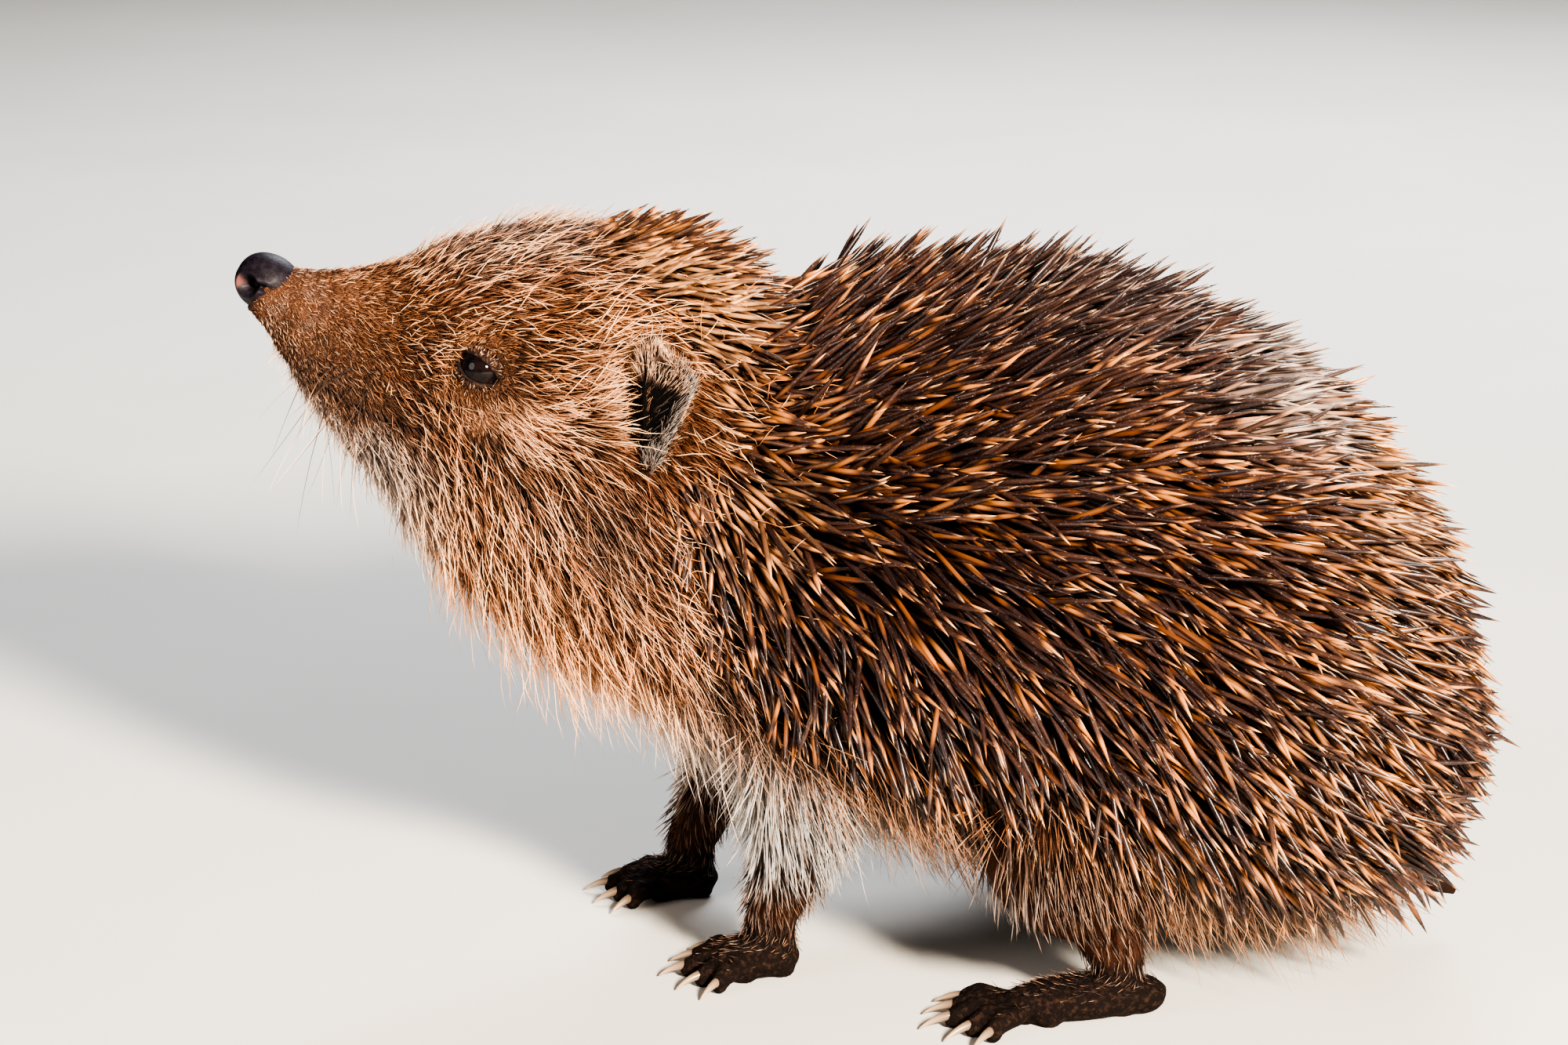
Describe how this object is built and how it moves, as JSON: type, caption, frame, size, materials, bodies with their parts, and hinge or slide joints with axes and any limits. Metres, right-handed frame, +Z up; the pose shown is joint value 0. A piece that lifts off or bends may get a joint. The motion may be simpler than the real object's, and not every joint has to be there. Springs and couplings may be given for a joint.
{
  "type": "hedgehog",
  "caption": "Life-size hedgehog standing still with its nose raised: spiny back, furred face and belly, short legs on small flat soles.",
  "frame": {"origin": "centre of the bounding box's base, on the floor the feet stand on", "axes": "-X towards the nose, -Y to the animal's left side, +Z up"},
  "size_m": [0.1928, 0.1136, 0.1166],
  "materials": {
    "spiny_coat": "overlapping stiff spines, banded dark brown and tan",
    "face_coat": "short orange-brown fur",
    "pale_coat": "long grey-cream hair",
    "bare_skin": "bare dark skin of the feet, with horn claws",
    "wet_nose": "moist black nose",
    "eye_gloss": "wet black eye"
  },
  "bodies": {
    "root": {"head": "face_coat", "neck": "pale_coat", "trunk": "spiny_coat", "tail": "pale_coat", "nose": "wet_nose", "eye_left": "eye_gloss", "eye_right": "eye_gloss", "ear_left": "face_coat", "ear_right": "face_coat", "foreleg_left": "pale_coat", "foreleg_right": "pale_coat", "forefoot_left": "bare_skin", "forefoot_right": "bare_skin", "hindleg_left": "pale_coat", "hindleg_right": "pale_coat", "hindfoot_left": "bare_skin", "hindfoot_right": "bare_skin"}
  },
  "joints": []
}
